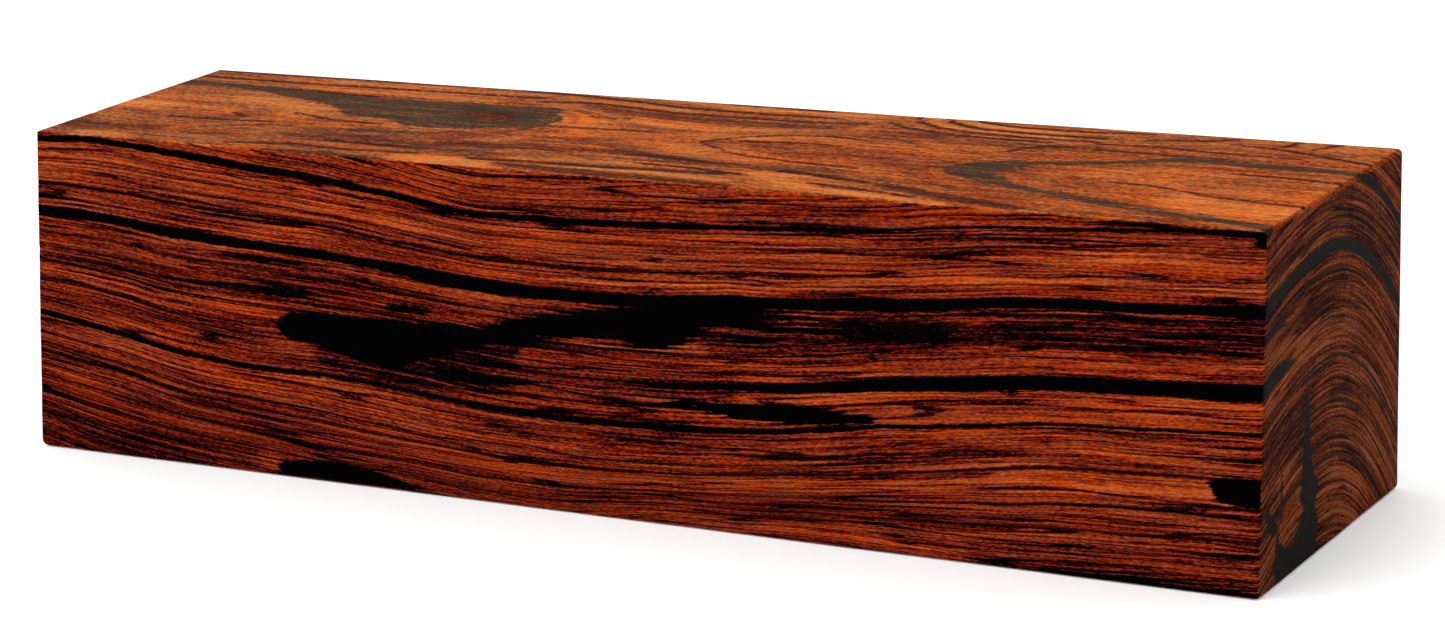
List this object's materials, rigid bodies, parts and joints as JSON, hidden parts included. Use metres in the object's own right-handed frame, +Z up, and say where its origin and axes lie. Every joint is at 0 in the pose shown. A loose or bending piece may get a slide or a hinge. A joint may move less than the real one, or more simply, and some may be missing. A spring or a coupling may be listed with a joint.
{
  "type": "wood turning blank",
  "caption": "Square-section blank of dense dark hardwood, sawn to length for the lathe, with eased arrises.",
  "frame": {"origin": "in the foot face, midway along its centre line", "axes": "+X along the grain and the length, towards the end that the picture shows; +Y from the front face to the back face; +Z up"},
  "size_m": [0.3094, 0.0782, 0.0762],
  "materials": {
    "rosewood": "planed and polished, satin"
  },
  "bodies": {
    "root": {"turning_blank": "rosewood"}
  },
  "joints": []
}
